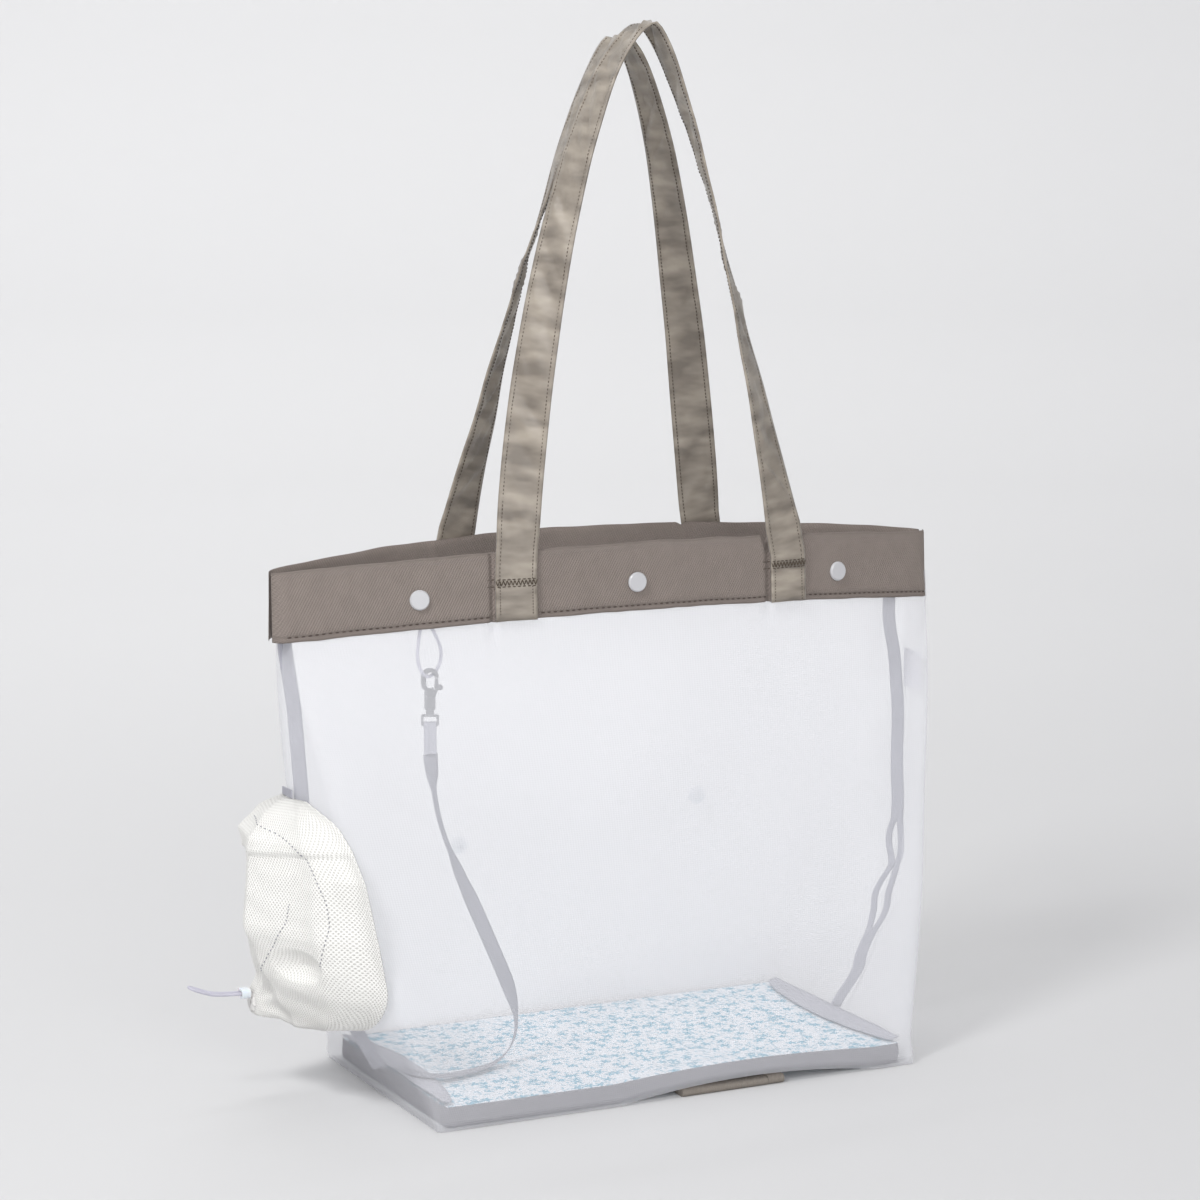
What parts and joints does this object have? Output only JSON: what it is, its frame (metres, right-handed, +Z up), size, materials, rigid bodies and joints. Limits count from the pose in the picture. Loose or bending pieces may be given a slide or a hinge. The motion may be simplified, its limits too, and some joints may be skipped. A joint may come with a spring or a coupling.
{
  "type": "beach bag",
  "caption": "Sheer white beach tote with a taupe snap band, long strap handles, floral base pad, clasp tether and a cream mesh drawcord pouch at its side.",
  "frame": {"origin": "on the floor, 5 mm left of the middle of the base's underside, where the mouth's middle is straight above", "axes": "+X to the right along the front, +Y to the back, +Z up to the mouth and handles"},
  "size_m": [0.5311, 0.192, 0.6959],
  "materials": {
    "sheer_cloth": "sheer white voile mesh",
    "taupe_twill": "taupe twill",
    "taupe_satin": "taupe satin weave with a soft sheen",
    "snap_white": "white lacquered caps",
    "snap_clear": "milky plastic",
    "grey_tape": "thin lilac-grey binding tape",
    "label_cloth": "blank white woven label",
    "floral_cotton": "white cotton with a small pale blue floral print",
    "foam": "foam board inside the cover",
    "white_elastic": "white elastic cord",
    "clasp_metal": "nickel-plated zinc",
    "cream_mesh": "cream diamond mesh",
    "clear_plastic": "milky plastic"
  },
  "bodies": {
    "bag": {"front_panel": "sheer_cloth", "back_panel": "sheer_cloth", "base_panel": "sheer_cloth", "front_band": "taupe_twill", "back_band": "taupe_twill", "front_handle_ends": "taupe_satin", "back_handle_ends": "taupe_satin", "front_snap_caps": "snap_white", "back_snap_caps": "snap_white", "front_snap_sockets": "snap_white", "back_snap_studs": "snap_white", "fold_snap_caps": "snap_clear", "fold_snap_sockets": "snap_clear", "left_seam_tape": "grey_tape", "right_seam_tape": "grey_tape", "left_base_tape": "grey_tape", "right_base_tape": "grey_tape", "care_label": "label_cloth", "pad_cover": "floral_cotton", "pad_foam": "foam", "base_tab": "taupe_satin", "base_tab_end": "taupe_satin", "elastic_loop": "white_elastic", "tether_tape": "grey_tape", "clasp_hook": "clasp_metal", "clasp_pin": "clasp_metal", "pouch_tab": "cream_mesh"},
    "front_handle": {"front_handle": "taupe_satin"},
    "back_handle": {"back_handle": "taupe_satin"},
    "swivel_eye": {"clasp_eye": "clasp_metal", "tether_fold": "grey_tape"},
    "gate": {"clasp_gate": "clasp_metal"},
    "pouch": {"pouch_shell": "cream_mesh", "pouch_hem": "cream_mesh", "drawcord": "white_elastic"},
    "stop": {"cord_stop": "clear_plastic"}
  },
  "joints": [
    {"name": "front_handle_swing", "type": "hinge", "parent": "bag", "child": "front_handle", "pos_m": [0, -0.04275, 0.34515], "axis": [0.9999, 0.0127, 0], "range_deg": [0, 150]},
    {"name": "back_handle_swing", "type": "hinge", "parent": "bag", "child": "back_handle", "pos_m": [-0.0025, 0.0493, 0.34515], "axis": [-1, -0.0039, 0], "range_deg": [0, 150]},
    {"name": "eye_swivel", "type": "hinge", "parent": "bag", "child": "swivel_eye", "pos_m": [-0.144, -0.0257, 0.2554], "axis": [0, 0, 1], "range_deg": [-60, 60]},
    {"name": "gate_press", "type": "hinge", "parent": "bag", "child": "gate", "pos_m": [-0.142, -0.0257, 0.2676], "axis": [0, -1, 0], "range_deg": [0, 16], "stiffness_Nm_per_rad": 0.02, "springref_deg": -11.46},
    {"name": "pouch_swing", "type": "hinge", "parent": "bag", "child": "pouch", "pos_m": [-0.2334, 0, 0.20505], "axis": [0, 1, 0], "range_deg": [0, 60]},
    {"name": "stop_slide", "type": "slide", "parent": "pouch", "child": "stop", "axis": [-1, 0, 0], "range_m": [0, 0.012]}
  ]
}
